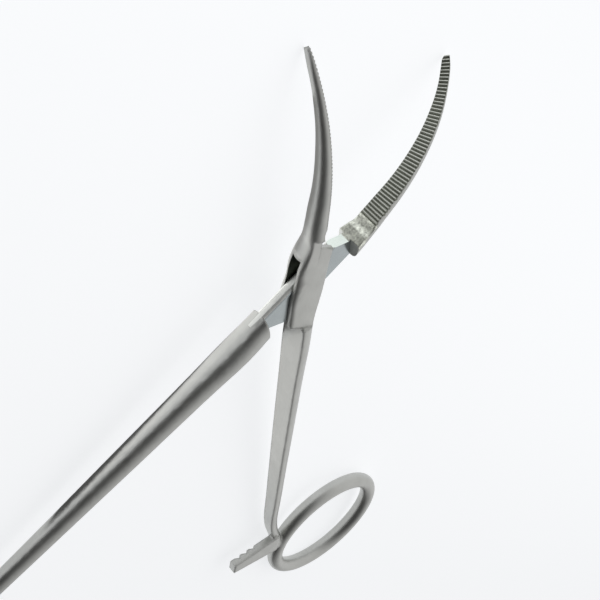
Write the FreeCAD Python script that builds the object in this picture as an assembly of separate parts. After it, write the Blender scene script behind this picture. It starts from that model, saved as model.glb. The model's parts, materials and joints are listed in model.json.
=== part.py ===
import FreeCAD, Part
import math
import os

from FreeCAD import Vector

# Curved, ring-handled box-lock forceps, in millimetres.
# Each half is first built as it stands when the jaws are shut: the pivot is the Z axis, the jaws
# run up Y and curve towards -Z, and the plane X = 0 lies between the two halves.
# The tongue half is then turned about the pivot to the open rest pose, and the whole is lowered so
# that the origin is where the pivot axis meets the box's upper flat face.

# Pose at rest
open_angle_deg = 49.3

# Jaws
jaw_base_y = 15.4
jaw_base_z = 0.5
serrated_length = 31.0
jaw_turn_deg = 44.5
even_turn_share = 0.62
jaw_base_width = 4.25
jaw_tip_width = 1.4
jaw_base_depth = 2.8
jaw_tip_depth = 0.85
jaw_belly_share = 0.33
jaw_tip_overhang = 0.45
jaw_tip_rounding = 0.9
jaw_root_y = 13.3
jaw_root_z = 0.7
jaw_root_width = 4.4
jaw_root_depth = 3.0

# Serrations: the ridges of each jaw stand into the grooves of the other by their height less the gap
tooth_count = 50
tooth_height = 0.22
tooth_land_share = 0.12
tooth_gap = 0.05

# Relief between the last tooth and the jaw's root
relief_radius = 2.1
relief_depth = 0.5
relief_y = 14.0

# Box
box_half_width = 3.6
box_end_half_width = 3.25
box_thickness = 4.4
box_blank_thickness = 5.2
box_blank_rise = 0.5
box_end_centre_y = 10.45
box_end_corner_y = 8.45
box_face_lower_y = -11.05
flat_end_y = 13.0
slot_thickness = 2.12
slot_end_centre_y = 10.4
slot_end_corner_y = 7.75

# Tongue
tongue_side_clearance = 0.04
tongue_end_clearance = 0.12
shoulder_clearance = 0.3
tongue_half_width = 3.3
tongue_back_rounding = 0.9
tongue_rooting = 0.8

# Pivot
pin_radius = 1.25
pin_running_clearance = 0.05

# Shanks
shank_root_y = -14.0
shank_root_z = 0.2
shank_root_thickness = 5.5
shank_root_depth = 3.25
shank_end_thickness = 2.8
shank_end_depth = 2.2
shank_spread_y = -12.0
shank_spread = 5.9
shank_spread_bend = 1.05
shank_end_y = -82.0

# Finger rings
ring_centre_x = 24.6
ring_centre_y = -99.2
ring_radius = 13.6
ring_band = 3.4

# Feet of the shanks, which lean out to the rings
foot_middle_y = -89.0
foot_end_y = -95.0

# Ratchets
ratchet_y = -91.6
ratchet_tip_x = -3.0
ratchet_width = 4.0
ratchet_root_flare = 0.6
ratchet_tip_width = 2.6
ratchet_thickness = 1.8
ratchet_gap = 0.12
ratchet_tooth_pitch = 1.9
ratchet_tooth_depth = 0.7
ratchet_tooth_share = 0.8
ratchet_first_tooth = 0.9
ratchet_tooth_count = 3

# Cross sections of the forging: how square they are, and how deep their widest line lies
round_bar = 1.0
flattened_bar = 0.85
square_bar = 0.55
squarish_bar = 0.8
section_spacing = 5.2

half_thickness = box_thickness / 2
tooth_pitch = serrated_length / (tooth_count - 1)
ridge_height = (tooth_height - tooth_gap) / 2

# How far cutting tools reach past what they cut
cutter_reach = 20.0
cutter_rise = 0.05
fusing_overlap = 0.5


def turn_at(share):
    """Angle that the jaw has turned through at a share of its serrated length."""
    turn = even_turn_share * share + (1 - even_turn_share) * share * abs(share)
    return math.radians(jaw_turn_deg) * turn


def jaw_point(distance):
    """Centre of the jaw's face and its turn, at a distance along the serrated length."""
    steps = 24
    y = jaw_base_y
    z = jaw_base_z
    step = distance / steps
    for index in range(steps):
        turn = turn_at((index + 0.5) * step / serrated_length)
        y += step * math.cos(turn)
        z -= step * math.sin(turn)
    return y, z, turn_at(distance / serrated_length)


def half_round(centre, turn, side, face_x, depth, width, belly_share, squareness):
    """Closed outline of a half-round bar: a flat face at face_x and a belly towards side."""
    belly_centre = belly_share * depth
    below = math.asin(min(0.95, belly_centre / (depth - belly_centre)))
    count = 8
    points = []
    for index in range(count + 1):
        angle = -below + (math.pi + 2 * below) * index / count
        across = math.copysign(abs(math.cos(angle)) ** squareness, math.cos(angle)) * width / 2
        rise = math.copysign(abs(math.sin(angle)) ** squareness, math.sin(angle))
        if angle < 0 or angle > math.pi:
            rise = math.sin(angle)
        out = belly_centre + (depth - belly_centre) * rise
        if index in (0, count):
            out = 0.0
        y = centre[0] + across * math.sin(turn)
        z = centre[1] + across * math.cos(turn)
        points.append(Vector(face_x + side * out, y, z))
    curve = Part.BSplineCurve()
    curve.interpolate(Points=points, Parameters=[index / count for index in range(count + 1)])
    return Part.Wire([curve.toShape(), Part.makeLine(points[-1], points[0])])


def mix(start, end, share):
    return start + (end - start) * share


def box_width_at(y):
    """Half-width of the box in plan, widest at the pivot."""
    share = min(1.0, abs(y) / box_end_corner_y)
    return mix(box_half_width, box_end_half_width, share * share)


def squareness_at(y):
    """How square the box's blank is: squarer at the jaw's own end than at the free end."""
    return mix(square_bar, squarish_bar, (y + box_end_centre_y) / (2 * box_end_centre_y))


def jaw_and_side(side, bottom_y):
    """The jaw with the side of the box below it, down to bottom_y, as one forging."""
    face_x = -side * ridge_height
    end_y, end_z, turn = jaw_point(serrated_length + jaw_tip_overhang)
    sections = [
        half_round((end_y, end_z), turn, side, face_x, jaw_tip_rounding * jaw_tip_depth,
                   jaw_tip_rounding * jaw_tip_width, jaw_belly_share, round_bar),
    ]
    for share in (1.0, 0.86, 0.7, 0.54, 0.38, 0.22, 0.08):
        y, z, turn = jaw_point(share * serrated_length)
        width = mix(jaw_base_width, jaw_tip_width, share)
        depth = mix(jaw_base_depth, jaw_tip_depth, share)
        sections.append(half_round((y, z), turn, side, face_x, depth, width, jaw_belly_share, round_bar))
    sections.append(half_round((jaw_root_y, jaw_root_z), 0, side, face_x, jaw_root_depth, jaw_root_width,
                               0.25, 0.9))
    y = box_end_centre_y
    while y > bottom_y:
        rise = box_blank_rise if y == box_end_centre_y else 0.0
        depth = box_width_at(y) + ridge_height
        sections.append(half_round((y, rise), 0, side, face_x, depth, box_blank_thickness, 0.1, squareness_at(y)))
        y -= section_spacing
    sections.append(half_round((bottom_y, 0), 0, side, face_x, box_width_at(bottom_y) + ridge_height,
                               box_blank_thickness, 0.1, square_bar))
    forging = Part.makeLoft(sections, True, False)
    below = Part.makeBox(cutter_reach, 2 * cutter_reach, 2 * cutter_reach,
                         Vector(0, relief_y - 2 * cutter_reach, -cutter_reach))
    if side > 0:
        below.translate(Vector(-cutter_reach, 0, 0))
    return forging.cut(below)


def shank_face_x(y):
    """Distance of the shank's flat inner face from the plane between the halves."""
    share = max(0.0, (y - shank_spread_y) / (shank_end_y - shank_spread_y))
    return shank_spread * share ** shank_spread_bend


def shank(side, top_y):
    """The shank with the side of the box above it, up to top_y, as one forging."""
    sections = []
    y = top_y
    while y > -box_end_centre_y - 1.0:
        rise = shank_root_z * min(1.0, max(0.0, y / shank_root_y)) ** 2
        sections.append(half_round((y, rise), 0, side, 0.0, box_width_at(y), box_blank_thickness, 0.1,
                                   squareness_at(-y)))
        y -= section_spacing
    for share in (0.0, 0.15, 0.35, 0.55, 0.75, 0.9, 1.0):
        y = mix(shank_root_y, shank_end_y, share)
        depth = mix(shank_root_depth, shank_end_depth, share)
        width = mix(shank_root_thickness, shank_end_thickness, share)
        rise = mix(shank_root_z, 0.0, share)
        face = side * shank_face_x(y)
        sections.append(half_round((y, rise), 0, side, face, depth, width, 0.15, flattened_bar))
    foot_x = ring_centre_x - ring_radius - shank_end_depth / 2
    for share, y in ((0.45, foot_middle_y), (0.85, foot_end_y)):
        face = side * mix(shank_face_x(shank_end_y), foot_x, share)
        sections.append(half_round((y, 0), 0, side, face, shank_end_depth, shank_end_thickness, 0.2, round_bar))
    return Part.makeLoft(sections, True, False)


def finger_ring(side):
    """Round finger ring of a round band."""
    centre = Vector(side * ring_centre_x, ring_centre_y, 0)
    return Part.makeTorus(ring_radius, ring_band / 2, centre, Vector(0, 0, 1))


def ratchet_bar(side):
    """Bar with the locking teeth, from the foot of the shank across the gap between the rings."""
    layer = side * ratchet_gap / 2
    root_x = shank_face_x(ratchet_y) + shank_end_depth
    tip_x = ratchet_tip_x
    plan = [
        Vector(side * root_x, ratchet_y - ratchet_width / 2 - ratchet_root_flare, layer),
        Vector(side * tip_x, ratchet_y - ratchet_tip_width / 2, layer),
        Vector(side * tip_x, ratchet_y + ratchet_tip_width / 2, layer),
        Vector(side * root_x, ratchet_y + ratchet_width / 2 + ratchet_root_flare, layer),
    ]
    face = Part.Face(Part.makePolygon(plan + [plan[0]]))
    bar = face.extrude(Vector(0, 0, side * ratchet_thickness))
    for index in range(ratchet_tooth_count):
        x = tip_x + ratchet_first_tooth + index * ratchet_tooth_pitch
        back_x = x + ratchet_tooth_share * ratchet_tooth_pitch
        notch = [
            Vector(side * x, 0, 0),
            Vector(side * back_x, 0, 0),
            Vector(side * back_x, 0, side * (ratchet_gap / 2 + ratchet_tooth_depth)),
        ]
        cutter = Part.Face(Part.makePolygon(notch + [notch[0]])).extrude(Vector(0, 2 * ratchet_width, 0))
        cutter.translate(Vector(0, ratchet_y - ratchet_width, 0))
        bar = bar.cut(cutter)
    return bar


def serration_cutters(side, first):
    """V-shaped grooves square to the jaw's curved centre line, from first along the jaw."""
    groove = tooth_pitch * (1 - tooth_land_share)
    mouth = groove / 2 * (tooth_height + cutter_rise) / tooth_height
    mouth_x = -side * (ridge_height + cutter_rise)
    valley_x = side * (tooth_height - ridge_height)
    cutters = []
    for index in range(tooth_count):
        y, z, turn = jaw_point(first + index * tooth_pitch)
        profile = [
            Vector(mouth_x, -mouth, -jaw_base_width),
            Vector(mouth_x, mouth, -jaw_base_width),
            Vector(valley_x, 0, -jaw_base_width),
        ]
        cutter = Part.Face(Part.makePolygon(profile + [profile[0]])).extrude(Vector(0, 0, 2 * jaw_base_width))
        cutter.rotate(Vector(0, 0, 0), Vector(1, 0, 0), -math.degrees(turn))
        cutter.translate(Vector(0, y, z))
        cutters.append(cutter)
    return Part.makeCompound(cutters)


def relief_cutter(side):
    """Scoop across the jaw between its last tooth and its root."""
    centre = Vector(-side * (relief_radius - relief_depth), relief_y, -cutter_reach / 2)
    return Part.makeCylinder(relief_radius, cutter_reach, centre, Vector(0, 0, 1))


def plan_solid(corners, thickness):
    """A flat plate of the given plan, centred on the mid-plane."""
    points = [Vector(x, y, -thickness / 2) for x, y in corners]
    return Part.Face(Part.makePolygon(points + [points[0]])).extrude(Vector(0, 0, thickness))


def end_line(centre_y, corner_y, x):
    """Height at x of a slanted end that runs from centre_y at X = 0 to corner_y at the side."""
    return centre_y + (corner_y - centre_y) * x / box_end_half_width


def beyond_end(side, centre_y, corner_y):
    """Everything above a slanted end, on the given side of the plane between the halves."""
    far = -2 * ring_centre_y
    corners = [
        (-side * fusing_overlap, end_line(centre_y, corner_y, -fusing_overlap)),
        (side * box_end_centre_y, end_line(centre_y, corner_y, box_end_centre_y)),
        (side * far, end_line(centre_y, corner_y, box_end_centre_y)),
        (side * far, far),
        (-side * fusing_overlap, far),
    ]
    return plan_solid(corners, cutter_reach)


def half_turn(shape):
    turned = shape.copy()
    turned.rotate(Vector(0, 0, 0), Vector(0, 0, 1), 180)
    return turned


def box_half():
    """Female half: jaw on the left, box, shank and ring on the right."""
    free_end = beyond_end(1, box_end_centre_y, box_end_corner_y)
    jaw = jaw_and_side(-1, -box_end_centre_y - fusing_overlap).cut(half_turn(free_end))
    body = jaw.fuse(shank(1, box_end_centre_y + fusing_overlap).cut(free_end))
    above = Part.makeBox(2 * cutter_reach, flat_end_y - box_face_lower_y, cutter_reach,
                         Vector(-cutter_reach, box_face_lower_y, half_thickness))
    below = above.copy()
    below.translate(Vector(0, 0, -2 * half_thickness - cutter_reach))
    body = body.cut(above).cut(below)
    far = cutter_reach
    slanted = end_line(slot_end_centre_y, slot_end_corner_y, far)
    plan = [(-far, slanted), (0, slot_end_centre_y), (0, relief_y), (far, relief_y),
            (far, -slanted), (0, -slot_end_centre_y), (0, -relief_y), (-far, -relief_y)]
    bore = Part.makeCylinder(pin_radius, cutter_reach, Vector(0, 0, -cutter_reach / 2))
    body = body.cut(plan_solid(plan, slot_thickness)).cut(bore)
    body = body.fuse(finger_ring(1)).fuse(ratchet_bar(1))
    return body.cut(relief_cutter(-1)).cut(serration_cutters(-1, tooth_pitch / 2))


def tongue():
    """Flat plate through the box, with its back edge rounded where the shank runs into it."""
    width = tongue_half_width
    shoulder = box_end_centre_y + shoulder_clearance + tongue_rooting
    peak = slot_end_centre_y - tongue_end_clearance
    corner = end_line(peak, slot_end_corner_y - tongue_end_clearance, width)
    plan = [(-width, corner), (0, peak), (0, shoulder), (width, shoulder),
            (width, -corner), (0, -peak), (0, -shoulder), (-width, -shoulder)]
    plate = plan_solid(plan, slot_thickness - 2 * tongue_side_clearance)
    back = [
        edge
        for edge in plate.Edges
        if edge.BoundBox.XMax < tongue_end_clearance - width and edge.BoundBox.YLength > width
    ]
    return plate.makeFillet(tongue_back_rounding, back)


def tongue_half():
    """Male half, as it stands with the jaws shut: jaw on the right, tongue, shank and ring on the left."""
    beyond = beyond_end(1, box_end_centre_y + shoulder_clearance, box_end_corner_y + shoulder_clearance)
    jaw = jaw_and_side(1, 0.0).common(beyond)
    lower = shank(-1, 0.0).common(half_turn(beyond))
    bore = Part.makeCylinder(pin_radius + pin_running_clearance, cutter_reach, Vector(0, 0, -cutter_reach / 2))
    body = jaw.fuse(tongue()).fuse(lower).cut(bore)
    body = body.fuse(finger_ring(-1)).fuse(ratchet_bar(-1))
    return body.cut(relief_cutter(1)).cut(serration_cutters(1, 0.0))


def pivot_pin():
    """Pin through both walls of the box, riveted and ground flush with its flat faces."""
    return Part.makeCylinder(pin_radius, box_thickness, Vector(0, 0, -half_thickness))


def export(name, shape):
    shape.translate(Vector(0, 0, -half_thickness))
    solid = shape.Solids[0] if len(shape.Solids) == 1 else shape
    print(name, "solids", len(shape.Solids), "valid", shape.isValid(), "volume", round(shape.Volume, 2))
    solid.exportStep("parts/" + name + ".step")


os.makedirs("parts", exist_ok=True)
export("box_half", box_half())
turned = tongue_half()
turned.rotate(Vector(0, 0, 0), Vector(0, 0, 1), -open_angle_deg)
export("tongue_half", turned)
export("pivot_pin", pivot_pin())
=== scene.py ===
"""Curved ring-handled forceps with a box lock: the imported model, its steel finishes and a pale studio."""

import json
import math

import bmesh
import bpy
from mathutils import Matrix, Vector


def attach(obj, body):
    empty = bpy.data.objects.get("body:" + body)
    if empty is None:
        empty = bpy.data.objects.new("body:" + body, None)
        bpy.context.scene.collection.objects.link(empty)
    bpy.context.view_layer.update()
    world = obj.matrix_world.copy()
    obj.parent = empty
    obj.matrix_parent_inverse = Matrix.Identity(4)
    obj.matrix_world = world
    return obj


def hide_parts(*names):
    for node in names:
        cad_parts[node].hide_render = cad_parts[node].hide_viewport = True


bl_info = {
    "name": "Box-lock forceps",
    "version": (1, 0, 0),
    "blender": (4, 5, 0),
    "location": "View3D > Sidebar > Forceps",
    "description": "Dresses the packed forceps in satin and milled steel and sets up its studio",
    "category": "Object",
}

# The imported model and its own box, before anything is added to it
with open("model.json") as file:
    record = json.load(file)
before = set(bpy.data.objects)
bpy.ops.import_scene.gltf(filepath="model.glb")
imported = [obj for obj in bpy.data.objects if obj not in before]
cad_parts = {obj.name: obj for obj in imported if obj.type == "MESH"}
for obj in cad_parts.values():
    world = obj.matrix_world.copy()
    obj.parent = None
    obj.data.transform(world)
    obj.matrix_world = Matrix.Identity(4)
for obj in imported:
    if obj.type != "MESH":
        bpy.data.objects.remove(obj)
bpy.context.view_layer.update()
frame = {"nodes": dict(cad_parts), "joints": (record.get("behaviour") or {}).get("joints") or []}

OPEN_ANGLE = math.radians(max(frame["joints"][0]["range_deg"]))
MILLIMETRE = 0.001

# Places on the closed forceps in millimetres. Y runs towards the tips, and X = 0 lies between the halves
TEETH_START_Y = 15.2
TEETH_DEEPEST_X = -0.15
TEETH_HIGHEST_X = 0.1
TONGUE_MIDDLE_Z = -2.2
TONGUE_HALF_THICKNESS = 1.05
TONGUE_END_Y = 11.4
POCKET_HALF_THICKNESS = 1.08
POCKET_END_Y = 7.6
# Where the painted highlight on the back of the tongue begins
BACK_HIGHLIGHT_START_Y = -8.2
ROOT_START_Y = 8.0
SHOULDER_END_Y = 13.0
ROOT_END_Y = 15.3
ROOT_SIDE_X = 0.6

# How far a face's normal leans one way where the face counts as one of these
FLAT_LEAN = 0.9
END_LEAN = 0.6
SHOULDER_LEAN = 0.5
TOOTH_LEAN = 0.3
BACK_LEAN = 0.2

# The side is drawn in where jaw and box meet, and the tips are thinned, in the same millimetres
MEETING_Y = 10.5
DRAWN_IN = 0.85
REACH_BELOW = 6.0
REACH_ABOVE = 5.5
DRAWN_IN_FULLY_X = 3.0
TIP_START_Y = 41.0
TIP_LENGTH = 3.7
TIP_THINNING = 0.5
TEETH_DEPTH = 0.15

# Where the root of the jaw is cleaned and its sharp edges rounded, in the same millimetres
CLEANED_ROOT_Y = (9.4, 15.0)
CLEANED_ROOT_TOP_Z = 0.6
ROUNDED_ROOT_Y = (9.7, 14.6)
EVEN_ANGLE = math.radians(3)
SHARP_ANGLE = math.radians(32)
SMOOTH_ANGLE = math.radians(42)
ROUNDED_WIDTH = 0.35 * MILLIMETRE
SHORTEST_ROUNDED_EDGE = 0.5 * MILLIMETRE
MERGE_DISTANCE = 0.002 * MILLIMETRE
SMALLEST_EDGE = 0.001 * MILLIMETRE
FACE_SIZE_WEIGHT = 70

# The steel's grain, how far gloss strays with it, and how strongly each finish shows it
GRAIN_STRETCH = 0.12
GRAIN_DETAIL = 3
GRAIN_SPREAD = (0.3, 0.7)
GRAIN_BUMP = 0.02 * MILLIMETRE
GLOSS_STRAY = 0.18
SATIN_GRAIN = 0.3
MILLED_GRAIN = 0.15
GROUND_GRAIN = 0.8
PIN_GRAIN = 0.25

# The steel's uneven patches: how many there are in a metre, and how far they stray in colour
FAINT_PATCHES = (260, 0.04)
GROUND_PATCHES = (1900, 0.38)
PATCH_DETAIL = 4
PATCH_SPREAD = (0.33, 0.67)

# The softened edge of the ground root, and the heights between which the teeth brighten as a painted
# highlight on their crests
GROUND_EDGE = 0.5 * MILLIMETRE
CREST_FROM = 0.03 * MILLIMETRE
CREST_UP_TO = 0.09 * MILLIMETRE

# Around the pin the softened edges are as good as sharp, so its ground ends don't show
PIN_SURROUND = (2 * MILLIMETRE, 3 * MILLIMETRE)
EDGE_AT_PIN = 0.02 * MILLIMETRE

# The camera's own axes, and the parts of the studio
CAMERA_RIGHT = (0.77346, 0.14755, 0.61644)
CAMERA_AHEAD = (0.49382, -0.74997, -0.44010)
FLOOR_TINT = (0.965, 0.98, 1.0)
FLOOR_GREY = (0.42, 0.42, 0.42)
FLOOR_ROUGHNESS = 0.9
FLOOR_FADES_ALONG = (0.36, 0.93, 0)
FLOOR_FADES_OVER = (-0.15, 0.01)
FLOOR_FADED_SHARE = 0.90
RING_DISTANCE = 0.06
ROOM_BRIGHT_SIDE = (1.0, 0.0, 0.05)
ROOM_FADES_OVER = (-0.45, 0.50)

# Glowing cards laid just above the floor that show only in reflections, as painted shade and painted light in
# the steel: their names, centres, sizes and turns, and how strongly they glow at their near and far ends
SHANK_ANGLE = math.radians(25)
FLOOR_PATCHES = (
    ("floor_shade_under_jaw", (-0.007, 0.010), (0.026, 0.052), 0.0, 0.95, 0.40),
    ("floor_shade_beside_shank", (-0.006, -0.070), (0.018, 0.100), 0.0, 0.50, 0.95),
    ("floor_light_along_shank", (-0.0464, -0.0197), (0.120, 0.009), SHANK_ANGLE, 1.25, 1.25),
    ("floor_shade_along_shank", (-0.0412, -0.0308), (0.120, 0.0135), SHANK_ANGLE, 0.10, 0.10),
)
PATCH_LIFT = 0.0004
PATCH_FADES_OVER = (-0.5, 0.1)
PATCH_ROUGHNESS = 0.5

# The materials of a half, in the order of its slots
SATIN, TEETH, MILLED, MILLED_END, SHADED_POCKET, BACK_HIGHLIGHT, GROUND = range(7)


def clear_selection():
    """Nothing selected, in object mode."""
    if bpy.context.mode != "OBJECT":
        bpy.ops.object.mode_set(mode="OBJECT")
    bpy.ops.object.select_all(action="DESELECT")


def take_up(piece):
    """That piece alone selected and active."""
    clear_selection()
    piece.select_set(True)
    bpy.context.view_layer.objects.active = piece


class ForcepsFinish(bpy.types.PropertyGroup):
    """Colours and textures of the steel."""

    steel_colour: bpy.props.FloatVectorProperty(
        name="Satin steel",
        description="Colour of the satin finished outside",
        subtype="COLOR",
        size=3,
        min=0,
        max=1,
        default=(0.48, 0.484, 0.464),
    )
    milled_colour: bpy.props.FloatVectorProperty(
        name="Milled steel",
        description="Colour of the bright milled faces of the tongue",
        subtype="COLOR",
        size=3,
        min=0,
        max=1,
        default=(0.40, 0.44, 0.45),
    )
    # Painted shade: the teeth are darkened to stand in for the shade in their grooves
    groove_shade_colour: bpy.props.FloatVectorProperty(
        name="Groove steel",
        description="Colour between the teeth of the jaws",
        subtype="COLOR",
        size=3,
        min=0,
        max=1,
        default=(0.225, 0.235, 0.20),
    )
    # Painted highlight: the crests of the teeth are brightened to stand in for the light on them
    crest_highlight_colour: bpy.props.FloatVectorProperty(
        name="Tooth crests",
        description="Colour of the bright crests of the teeth",
        subtype="COLOR",
        size=3,
        min=0,
        max=1,
        default=(0.64, 0.65, 0.60),
    )
    # Partly the milled finish, brightened as a painted highlight on the slanted end of the tongue
    end_highlight_colour: bpy.props.FloatVectorProperty(
        name="Milled end",
        description="Colour of the bright slanted end of the tongue",
        subtype="COLOR",
        size=3,
        min=0,
        max=1,
        default=(0.80, 0.87, 0.81),
    )
    # Painted shade: the inside of the box is darkened to stand in for the shade in the slot, not for a lack
    # of polish
    pocket_shade_colour: bpy.props.FloatVectorProperty(
        name="Pocket",
        description="Colour inside the box, where no polish reaches",
        subtype="COLOR",
        size=3,
        min=0,
        max=1,
        default=(0.11, 0.13, 0.10),
    )
    # Painted highlight: the back of the tongue is brightened to stand in for the band of light that runs on
    # from the shank, rather than rubbed bright
    rubbed_colour: bpy.props.FloatVectorProperty(
        name="Rubbed back",
        description="Colour of the back of the tongue, rubbed bright in the box",
        subtype="COLOR",
        size=3,
        min=0,
        max=1,
        default=(0.80, 0.81, 0.78),
    )
    ground_colour: bpy.props.FloatVectorProperty(
        name="Ground root",
        description="Colour of the uneven ground root of the toothed jaw",
        subtype="COLOR",
        size=3,
        min=0,
        max=1,
        default=(0.70, 0.72, 0.64),
    )
    satin_roughness: bpy.props.FloatProperty(
        name="Satin roughness",
        description="Gloss of the satin finish",
        default=0.35,
        min=0,
        max=1,
    )
    milled_roughness: bpy.props.FloatProperty(
        name="Milled roughness",
        description="Gloss of the milled faces",
        default=0.22,
        min=0,
        max=1,
    )
    # Gloss of the back of the tongue that carries the painted highlight
    rubbed_roughness: bpy.props.FloatProperty(
        name="Rubbed roughness",
        description="Gloss of the rubbed back of the tongue",
        default=0.55,
        min=0,
        max=1,
    )
    grain_scale: bpy.props.FloatProperty(
        name="Grain",
        description="Grains of the satin finish in a metre",
        default=5200,
        min=100,
        max=20000,
    )
    edge_width: bpy.props.FloatProperty(
        name="Edge width",
        description="Width of the softened edges",
        subtype="DISTANCE",
        unit="LENGTH",
        default=0.00090,
        min=0,
        max=0.001,
    )


class ForcepsStudio(bpy.types.PropertyGroup):
    """Camera, floor and light."""

    camera_place: bpy.props.FloatVectorProperty(
        name="Camera place",
        description="Where the camera stands",
        subtype="TRANSLATION",
        unit="LENGTH",
        size=3,
        default=(-0.12306, 0.18220, 0.10761),
    )
    lens: bpy.props.FloatProperty(
        name="Lens",
        description="Focal length in millimetres",
        default=86.74,
        min=20,
        max=300,
    )
    floor_size: bpy.props.FloatProperty(
        name="Floor size",
        description="Side of the floor",
        unit="LENGTH",
        default=6.0,
        min=1,
        max=20,
    )
    floor_glow: bpy.props.FloatProperty(
        name="Floor glow",
        description="Light that the pale floor gives off",
        default=0.785,
        min=0,
        max=2,
    )
    room_light: bpy.props.FloatProperty(
        name="Room light",
        description="Strength of the white room",
        default=0.85,
        min=0,
        max=5,
    )
    room_shade: bpy.props.FloatProperty(
        name="Room shade",
        description="Strength left behind the camera",
        default=0.08,
        min=0,
        max=5,
    )


def map_range(tree, value, places, results=(0.0, 1.0), smooth=False):
    """A value that goes from one result to the other while the given one goes from one place to the other."""
    node = tree.nodes.new("ShaderNodeMapRange")
    if smooth:
        node.interpolation_type = "SMOOTHSTEP"
    node.inputs["From Min"].default_value, node.inputs["From Max"].default_value = places
    node.inputs["To Min"].default_value, node.inputs["To Max"].default_value = results
    tree.links.new(value, node.inputs["Value"])
    return node.outputs["Result"]


def mapping(tree, coordinates, rotation=(0, 0, 0), scale=(1, 1, 1)):
    """Coordinates turned and scaled."""
    node = tree.nodes.new("ShaderNodeMapping")
    node.inputs["Rotation"].default_value = rotation
    node.inputs["Scale"].default_value = scale
    tree.links.new(coordinates, node.inputs["Vector"])
    return node.outputs["Vector"]


def noise(tree, coordinates, scale, detail):
    """An uneven value from 0 to 1, with so many patches in a metre."""
    node = tree.nodes.new("ShaderNodeTexNoise")
    node.inputs["Scale"].default_value = scale
    node.inputs["Detail"].default_value = detail
    tree.links.new(coordinates, node.inputs["Vector"])
    return node.outputs["Fac"]


def distance_along(tree, coordinates, direction):
    """How far the coordinates lie along a direction."""
    node = tree.nodes.new("ShaderNodeVectorMath")
    node.operation = "DOT_PRODUCT"
    node.inputs[1].default_value = direction
    tree.links.new(coordinates, node.inputs[0])
    return node.outputs["Value"]


def soft_edges(tree, coordinates, edge_width):
    """A normal that rounds the edges, less and less towards the pin."""
    from_pin = tree.nodes.new("ShaderNodeVectorMath")
    from_pin.operation = "LENGTH"
    tree.links.new(mapping(tree, coordinates, scale=(1, 1, 0)), from_pin.inputs[0])
    node = tree.nodes.new("ShaderNodeBevel")
    node.samples = 6
    width = map_range(tree, from_pin.outputs["Value"], PIN_SURROUND, (EDGE_AT_PIN, edge_width))
    tree.links.new(width, node.inputs["Radius"])
    return node.outputs["Normal"]


def satin_steel(
    name,
    colour,
    roughness,
    grain_scale,
    grain_depth,
    turn=0.0,
    edge_width=0.0,
    crest=None,
    patches_at=FAINT_PATCHES,
):
    """Steel with a fine grain drawn out along the forceps and uneven patches.

    crest, where given, is the colour of the painted highlight on the teeth's crests and the two distances
    from the plane between the jaws from which and up to which the steel brightens into that painted
    highlight. patches_at is how many patches there are in a metre and how far they stray from the steel's
    colour."""
    material = bpy.data.materials.new(name)
    material.use_nodes = True
    tree = material.node_tree
    shader = tree.nodes["Principled BSDF"]
    shader.inputs["Metallic"].default_value = 1.0
    place = tree.nodes.new("ShaderNodeTexCoord").outputs["Object"]
    turned = mapping(tree, place, rotation=(0, 0, turn))
    stretched = mapping(tree, turned, scale=(1.0, GRAIN_STRETCH, 1.0))
    grain = noise(tree, stretched, grain_scale, GRAIN_DETAIL)
    glosses = (roughness * (1 - GLOSS_STRAY), roughness * (1 + GLOSS_STRAY))
    tree.links.new(map_range(tree, grain, GRAIN_SPREAD, glosses), shader.inputs["Roughness"])

    patch_scale, stray = patches_at
    patches = map_range(tree, noise(tree, place, patch_scale, PATCH_DETAIL), PATCH_SPREAD)
    tone = tree.nodes.new("ShaderNodeMix")
    tone.data_type = "RGBA"
    tone.inputs["A"].default_value = (*((1 - stray) * c for c in colour), 1)
    tone.inputs["B"].default_value = (*(min(1, (1 + stray) * c) for c in colour), 1)
    tree.links.new(patches, tone.inputs["Factor"])

    bump = tree.nodes.new("ShaderNodeBump")
    bump.inputs["Strength"].default_value = grain_depth
    bump.inputs["Distance"].default_value = GRAIN_BUMP
    tree.links.new(grain, bump.inputs["Height"])
    tree.links.new(bump.outputs["Normal"], shader.inputs["Normal"])
    if edge_width:
        tree.links.new(soft_edges(tree, place, edge_width), bump.inputs["Normal"])
    if crest is None:
        tree.links.new(tone.outputs["Result"], shader.inputs["Base Color"])
        return material

    # The teeth brighten towards their crests as a painted highlight
    crest_highlight_colour, low, high = crest
    axes = tree.nodes.new("ShaderNodeSeparateXYZ")
    tree.links.new(turned, axes.inputs["Vector"])
    crest_highlight_mix = tree.nodes.new("ShaderNodeMix")
    crest_highlight_mix.data_type = "RGBA"
    crest_highlight_mix.inputs["B"].default_value = (*crest_highlight_colour, 1)
    tree.links.new(map_range(tree, axes.outputs["X"], (low, high), smooth=True), crest_highlight_mix.inputs["Factor"])
    tree.links.new(tone.outputs["Result"], crest_highlight_mix.inputs["A"])
    tree.links.new(crest_highlight_mix.outputs["Result"], shader.inputs["Base Color"])
    return material


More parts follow.
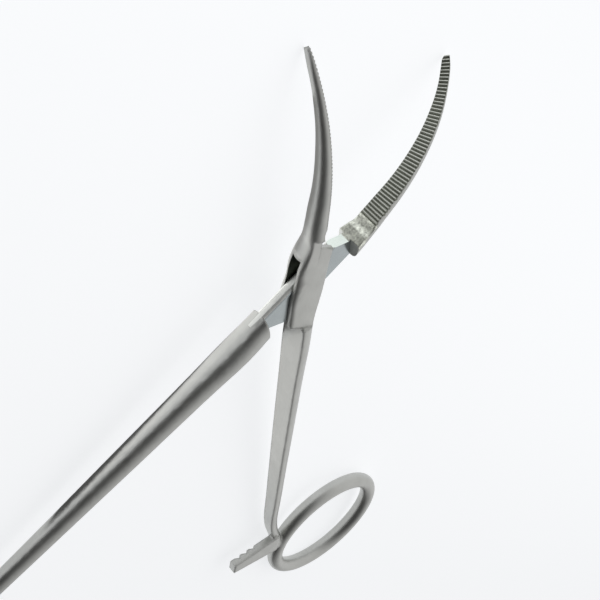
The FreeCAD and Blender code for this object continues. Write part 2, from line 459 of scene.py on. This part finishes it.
def soften_root(turn):
    """Rounds the edges where the jaw is rooted, in edit mode."""
    piece = bpy.context.active_object
    mesh = bmesh.from_edit_mesh(piece.data)
    turned = Matrix.Rotation(turn, 3, "Z")
    bpy.ops.mesh.select_all(action="DESELECT")
    start, end = CLEANED_ROOT_Y
    for face in mesh.faces:
        centre = turned @ face.calc_center_median() / MILLIMETRE
        face.select_set(start < centre.y < end and centre.z < CLEANED_ROOT_TOP_Z)
    bmesh.update_edit_mesh(piece.data)
    bpy.ops.mesh.dissolve_limited(angle_limit=EVEN_ANGLE)
    bpy.ops.mesh.select_all(action="DESELECT")
    mesh = bmesh.from_edit_mesh(piece.data)
    bpy.context.tool_settings.mesh_select_mode = (False, True, False)
    start, end = ROUNDED_ROOT_Y
    for edge in mesh.edges:
        middle = turned @ ((edge.verts[0].co + edge.verts[1].co) / 2) / MILLIMETRE
        sharp = len(edge.link_faces) == 2 and edge.calc_face_angle() > SHARP_ANGLE
        edge.select_set(sharp and start < middle.y < end and edge.calc_length() > SHORTEST_ROUNDED_EDGE)
    bmesh.update_edit_mesh(piece.data)
    bpy.ops.mesh.bevel(offset=ROUNDED_WIDTH, segments=3, affect="EDGES", clamp_overlap=True)
    bpy.context.tool_settings.mesh_select_mode = (True, False, False)


def ease(value):
    """A smooth step from 0 to 1."""
    value = min(1.0, max(0.0, value))
    return value * value * (3 - 2 * value)


def draw_in(turn):
    """Draws in the side where jaw and box meet and thins the tips, in edit mode.

    It is worked out on the closed forceps and is the same for both halves, so they still fit when closed."""
    piece = bpy.context.active_object
    mesh = bmesh.from_edit_mesh(piece.data)
    turned = Matrix.Rotation(turn, 3, "Z")
    for vertex in mesh.verts:
        place = turned @ vertex.co / MILLIMETRE
        reach = REACH_BELOW if place.y < MEETING_Y else REACH_ABOVE
        nearness = ease(1 - abs(place.y - MEETING_Y) / reach)
        shift = DRAWN_IN * nearness * min(1.0, max(0.0, -place.x / DRAWN_IN_FULLY_X))
        back = abs(place.x) - TEETH_DEPTH
        if back > 0:
            thinning = TIP_THINNING * ease((place.y - TIP_START_Y) / TIP_LENGTH)
            shift -= math.copysign(thinning * back, place.x)
        vertex.co += turned.transposed() @ Vector((shift * MILLIMETRE, 0, 0))
    bmesh.update_edit_mesh(piece.data)


def dressed_copy(node, name, turn):
    """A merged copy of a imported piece, reshaped in edit mode, with smooth round surfaces."""
    piece = bpy.data.objects.new(name, frame["nodes"][node].data.copy())
    bpy.context.scene.collection.objects.link(piece)
    piece.data.materials.clear()
    take_up(piece)
    bpy.ops.mesh.customdata_custom_splitnormals_clear()
    bpy.ops.object.mode_set(mode="EDIT")
    bpy.ops.mesh.select_all(action="SELECT")
    bpy.ops.mesh.remove_doubles(threshold=MERGE_DISTANCE)
    bpy.ops.mesh.dissolve_degenerate(threshold=SMALLEST_EDGE)
    draw_in(turn)
    soften_root(turn)
    bpy.ops.object.mode_set(mode="OBJECT")
    bpy.ops.object.shade_smooth_by_angle(angle=SMOOTH_ANGLE)
    bpy.ops.object.modifier_add(type="WEIGHTED_NORMAL")
    piece.modifiers[-1].keep_sharp = True
    piece.modifiers[-1].weight = FACE_SIZE_WEIGHT
    bpy.ops.object.modifier_apply(modifier=piece.modifiers[-1].name)
    return piece


def paint_faces(piece, turn, choices):
    """Gives each face the material whose test it meets first, on the closed forceps in millimetres."""
    turned = Matrix.Rotation(turn, 3, "Z")
    for face in piece.data.polygons:
        centre = turned @ face.center / MILLIMETRE
        normal = turned @ face.normal
        face.material_index = next(i for i, test in choices if test(centre, normal))


def on_teeth(side):
    """The test for the teeth of a jaw that face that way along X."""

    def test(place, normal):
        within = TEETH_DEEPEST_X < side * place.x < TEETH_HIGHEST_X
        return place.y > TEETH_START_Y and within and side * normal.x > TOOTH_LEAN

    return test


def on_pocket(place, normal):
    """The walls of the slot through the box."""
    return abs(place.y) < POCKET_END_Y and abs(place.z - TONGUE_MIDDLE_Z) < POCKET_HALF_THICKNESS


def on_tongue(place):
    """Between the tongue's two ends, and as high as the tongue."""
    return abs(place.y) < TONGUE_END_Y and abs(place.z - TONGUE_MIDDLE_Z) < TONGUE_HALF_THICKNESS


def on_milled_flat(place, normal):
    """The upper and lower face of the tongue."""
    return on_tongue(place) and abs(normal.z) > FLAT_LEAN


def on_milled_end(place, normal):
    """The faces at the ends of the tongue that look away from the pin."""
    return on_tongue(place) and normal.y * place.y > 0 and abs(normal.y) > END_LEAN


def on_highlit_back(place, normal):
    """The back of the tongue, on the side away from its own jaw, where it is brightened as a painted
    highlight.
    """
    inside = on_tongue(place) and BACK_HIGHLIGHT_START_Y < place.y < ROOT_START_Y
    return inside and place.x < 0 and normal.x < -BACK_LEAN


def on_shoulder(place, normal):
    """The face under the root of the jaw."""
    return ROOT_START_Y < place.y < SHOULDER_END_Y and normal.y < -SHOULDER_LEAN


def on_ground_root(place, normal):
    """The root of the jaw, on the side of its teeth."""
    return ROOT_START_Y < place.y < ROOT_END_Y and place.x < ROOT_SIDE_X and normal.x < BACK_LEAN


def anywhere(place, normal):
    """All that is left."""
    return True


def half_materials(finish, half, turn, crest_side, edge_width):
    """The finishes of one half: satin outside, teeth with painted shade in the grooves and a painted
    highlight on the crests, milled flats, a milled end brightened as a painted highlight, a pocket darkened
    as painted shade, the tongue's back brightened as a painted highlight and the ground root of the jaw."""
    scale = finish.grain_scale
    satin = finish.satin_roughness
    milled = finish.milled_roughness
    back_gloss = finish.rubbed_roughness
    # The crests get a painted highlight between these two heights
    crest = (finish.crest_highlight_colour, crest_side * CREST_FROM, crest_side * CREST_UP_TO)
    return [
        satin_steel("satin_" + half, finish.steel_colour, satin, scale, SATIN_GRAIN, turn, edge_width),
        # The teeth carry painted shade in the grooves and a painted highlight on the crests
        satin_steel("teeth_" + half, finish.groove_shade_colour, satin, scale, SATIN_GRAIN, turn, crest=crest),
        satin_steel("milled_" + half, finish.milled_colour, milled, scale, MILLED_GRAIN, turn),
        # The milled end is brightened as a painted highlight
        satin_steel("milled_end_" + half, finish.end_highlight_colour, milled, scale, MILLED_GRAIN, turn),
        # The pocket is darkened as painted shade
        satin_steel("pocket_" + half, finish.pocket_shade_colour, satin, scale, SATIN_GRAIN, turn),
        # The back of the tongue is brightened as a painted highlight
        satin_steel("rubbed_" + half, finish.rubbed_colour, back_gloss, scale, SATIN_GRAIN, turn),
        satin_steel(
            "ground_" + half,
            finish.ground_colour,
            satin,
            scale,
            GROUND_GRAIN,
            turn,
            GROUND_EDGE,
            patches_at=GROUND_PATCHES,
        ),
    ]


class FORCEPS_OT_box_half(bpy.types.Operator):
    """Dresses the half that carries the box"""

    bl_idname = "forceps.box_half"
    bl_label = "Box half"

    def execute(self, context):
        finish = context.scene.forceps_finish
        piece = dressed_copy("box_half", "box_half_dressed", 0.0)
        for material in half_materials(finish, "box_half", 0.0, 1, finish.edge_width):
            piece.data.materials.append(material)
        paint_faces(
            piece,
            0.0,
            [
                # The teeth get painted shade in their grooves and a painted highlight on their crests
                (TEETH, on_teeth(1)),
                # The walls of the slot get painted shade
                (SHADED_POCKET, on_pocket),
                (SATIN, anywhere),
            ],
        )
        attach(piece, "box_half")
        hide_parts("box_half")
        return {"FINISHED"}


class FORCEPS_OT_tongue_half(bpy.types.Operator):
    """Dresses the half whose tongue passes through the box"""

    bl_idname = "forceps.tongue_half"
    bl_label = "Tongue half"

    def execute(self, context):
        finish = context.scene.forceps_finish
        piece = dressed_copy("tongue_half", "tongue_half_dressed", OPEN_ANGLE)
        for material in half_materials(finish, "tongue_half", OPEN_ANGLE, -1, finish.edge_width / 2):
            piece.data.materials.append(material)
        paint_faces(
            piece,
            OPEN_ANGLE,
            [
                # The teeth get painted shade in their grooves and a painted highlight on their crests
                (TEETH, on_teeth(-1)),
                (MILLED, on_milled_flat),
                # The slanted ends of the tongue get their milled colour brightened as a painted highlight
                (MILLED_END, on_milled_end),
                # The back of the tongue and the face under the jaw's root get the same colour, brightened as
                # a painted highlight
                (BACK_HIGHLIGHT, on_highlit_back),
                (BACK_HIGHLIGHT, on_shoulder),
                (GROUND, on_ground_root),
                (SATIN, anywhere),
            ],
        )
        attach(piece, "tongue_half")
        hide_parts("tongue_half")
        return {"FINISHED"}


class FORCEPS_OT_pivot_pin(bpy.types.Operator):
    """Gives the ground pivot pin its steel"""

    bl_idname = "forceps.pivot_pin"
    bl_label = "Pivot pin"

    def execute(self, context):
        finish = context.scene.forceps_finish
        scale = finish.grain_scale
        steel = satin_steel("pin_steel", finish.steel_colour, finish.satin_roughness, scale, PIN_GRAIN)
        pin = frame["nodes"]["pivot_pin"]
        if not pin.data.materials:
            pin.data.materials.append(steel)
        for place in pin.material_slots:
            place.material = steel
        return {"FINISHED"}


def resting_plane():
    """The plane that the tips and rings lie on: the direction along the middle of the open forceps, the place
    of the tips along it and their height, and the plane's slope."""
    middle = Vector((math.sin(OPEN_ANGLE / 2), math.cos(OPEN_ANGLE / 2)))
    points = [
        (vertex.co.xy.dot(middle), vertex.co.z)
        for node in ("box_half", "tongue_half")
        for vertex in frame["nodes"][node].data.vertices
    ]
    tip = min(points, key=lambda p: p[1])
    slope = max((z - tip[1]) / (s - tip[0]) for s, z in points if s < tip[0] - RING_DISTANCE)
    return middle, tip, slope


def fade_glow(material, along, places, strengths):
    """Lets the glow of a floor or patch go from one strength to another along a direction of its own."""
    tree = material.node_tree
    place = tree.nodes.new("ShaderNodeTexCoord").outputs["Object"]
    glow = map_range(tree, distance_along(tree, place, along), places, strengths, smooth=True)
    tree.links.new(glow, tree.nodes["Principled BSDF"].inputs["Emission Strength"])


def glowing(name, colour, roughness, tint):
    """A material without gloss that gives off light of that tint."""
    material = bpy.data.materials.new(name)
    material.use_nodes = True
    shader = material.node_tree.nodes["Principled BSDF"]
    shader.inputs["Base Color"].default_value = (*colour, 1)
    shader.inputs["Roughness"].default_value = roughness
    shader.inputs["Specular IOR Level"].default_value = 0.0
    shader.inputs["Emission Color"].default_value = (*tint, 1)
    return material


class FORCEPS_OT_studio(bpy.types.Operator):
    """Adds the camera, the pale floor and the light"""

    bl_idname = "forceps.studio"
    bl_label = "Studio"

    def execute(self, context):
        studio = context.scene.forceps_studio
        self.add_camera(context, studio)
        self.add_floor(studio)
        self.light_room(context, studio)
        for patch in FLOOR_PATCHES:
            self.add_patch(*patch)
        return {"FINISHED"}

    def add_camera(self, context, studio):
        """Puts the camera at the photograph's place, with its three axes made square."""
        right = Vector(CAMERA_RIGHT).normalized()
        ahead = Vector(CAMERA_AHEAD).normalized()
        up = right.cross(ahead).normalized()
        right = ahead.cross(up)
        lens = bpy.data.cameras.new("camera")
        lens.lens = studio.lens
        lens.sensor_width = 36
        lens.clip_start = 0.01
        lens.clip_end = 50
        camera = bpy.data.objects.new("camera", lens)
        context.scene.collection.objects.link(camera)
        turned = Matrix((right, up, -ahead)).transposed().to_4x4()
        camera.matrix_world = Matrix.Translation(Vector(studio.camera_place)) @ turned
        context.scene.camera = camera

    def add_patch(self, name, centre, size, turn, near_strength, far_strength):
        """A glowing card just above the floor that shows only in reflections: painted shade where it glows
        less than the floor, painted light where it glows more.
        """
        middle, tip, slope = resting_plane()
        height = tip[1] + slope * (Vector(centre).dot(middle) - tip[0]) + PATCH_LIFT
        clear_selection()
        bpy.ops.mesh.primitive_plane_add(size=1, location=(*centre, height), rotation=(0, 0, turn))
        patch = bpy.context.active_object
        patch.name = name
        patch.scale = (*size, 1)
        patch.visible_camera = False
        patch.visible_diffuse = False
        patch.visible_shadow = False
        patch.visible_transmission = False
        material = glowing(name, (0, 0, 0), PATCH_ROUGHNESS, (1, 1, 1))
        fade_glow(material, (0, 1, 0), PATCH_FADES_OVER, (near_strength, far_strength))
        patch.data.materials.append(material)

    def add_floor(self, studio):
        """The pale floor, touching the tips and the rings."""
        middle, tip, slope = resting_plane()
        along = Vector((middle.x, middle.y, slope)).normalized()
        across = Vector((middle.y, -middle.x, 0))
        upward = across.cross(along).normalized()
        clear_selection()
        bpy.ops.mesh.primitive_plane_add(size=studio.floor_size)
        floor = bpy.context.active_object
        floor.name = "floor"
        contact = Vector((middle.x * tip[0], middle.y * tip[0], tip[1]))
        turned = Matrix((across, along, upward)).transposed().to_4x4()
        floor.matrix_world = Matrix.Translation(contact) @ turned
        material = glowing("pale_floor", FLOOR_GREY, FLOOR_ROUGHNESS, FLOOR_TINT)
        glow = studio.floor_glow
        fade_glow(material, FLOOR_FADES_ALONG, FLOOR_FADES_OVER, (FLOOR_FADED_SHARE * glow, glow))
        floor.data.materials.append(material)

    def light_room(self, context, studio):
        """A white room that is darker on the camera's side."""
        world = bpy.data.worlds.new("white_room")
        context.scene.world = world
        world.use_nodes = True
        tree = world.node_tree
        light = tree.nodes["Background"]
        light.inputs["Color"].default_value = (1, 1, 1, 1)
        direction = tree.nodes.new("ShaderNodeTexCoord").outputs["Generated"]
        towards = distance_along(tree, direction, ROOM_BRIGHT_SIDE)
        strength = map_range(tree, towards, ROOM_FADES_OVER, (studio.room_shade, studio.room_light))
        tree.links.new(strength, light.inputs["Strength"])
        context.scene.view_settings.view_transform = "Standard"


class FORCEPS_PT_panel(bpy.types.Panel):
    """Lists the pieces of the forceps and their finish"""

    bl_idname = "FORCEPS_PT_panel"
    bl_label = "Forceps"
    bl_space_type = "VIEW_3D"
    bl_region_type = "UI"
    bl_category = "Forceps"

    def draw(self, context):
        for group in (context.scene.forceps_finish, context.scene.forceps_studio):
            for name in group.__annotations__:
                self.layout.prop(group, name)
        for step in STEPS:
            self.layout.operator(step.bl_idname)


GROUPS = (ForcepsFinish, ForcepsStudio)
STEPS = (FORCEPS_OT_box_half, FORCEPS_OT_tongue_half, FORCEPS_OT_pivot_pin, FORCEPS_OT_studio)


def register():
    for each in (*GROUPS, *STEPS, FORCEPS_PT_panel):
        bpy.utils.register_class(each)
    bpy.types.Scene.forceps_finish = bpy.props.PointerProperty(type=ForcepsFinish)
    bpy.types.Scene.forceps_studio = bpy.props.PointerProperty(type=ForcepsStudio)


def unregister():
    del bpy.types.Scene.forceps_studio
    del bpy.types.Scene.forceps_finish
    for each in reversed((*GROUPS, *STEPS, FORCEPS_PT_panel)):
        bpy.utils.unregister_class(each)


def main():
    register()
    bpy.ops.forceps.studio()
    bpy.ops.forceps.box_half()
    bpy.ops.forceps.tongue_half()
    bpy.ops.forceps.pivot_pin()


if __name__ == "__main__":
    main()
